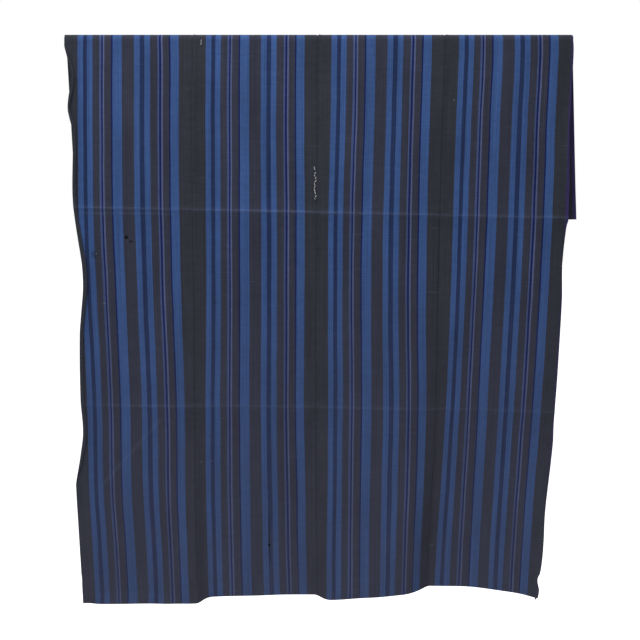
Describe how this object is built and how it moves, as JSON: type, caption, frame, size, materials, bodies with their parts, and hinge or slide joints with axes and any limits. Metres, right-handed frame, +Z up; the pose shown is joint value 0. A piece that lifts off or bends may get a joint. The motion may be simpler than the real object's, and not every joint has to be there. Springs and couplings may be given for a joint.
{
  "type": "striped strip-woven cotton cloth",
  "caption": "Indigo and black warp-striped cotton cloth of loom strips sewn side by side, draped over a rail line with a long front fall and a short back flap.",
  "frame": {"origin": "middle seam, where the underside of the cloth's bend meets the top of the rail it hangs over", "axes": "+X along the rail to the cloth's right as seen from the front, +Y to the back flap, +Z up"},
  "size_m": [1.1435, 0.0566, 1.2855],
  "materials": {
    "striped_cotton": "matte handwoven cotton, warp stripes in indigo blues, lavender, charcoal and black"
  },
  "bodies": {
    "root": {"strip_1": "striped_cotton", "strip_2": "striped_cotton", "strip_3": "striped_cotton", "strip_4": "striped_cotton"}
  },
  "joints": []
}
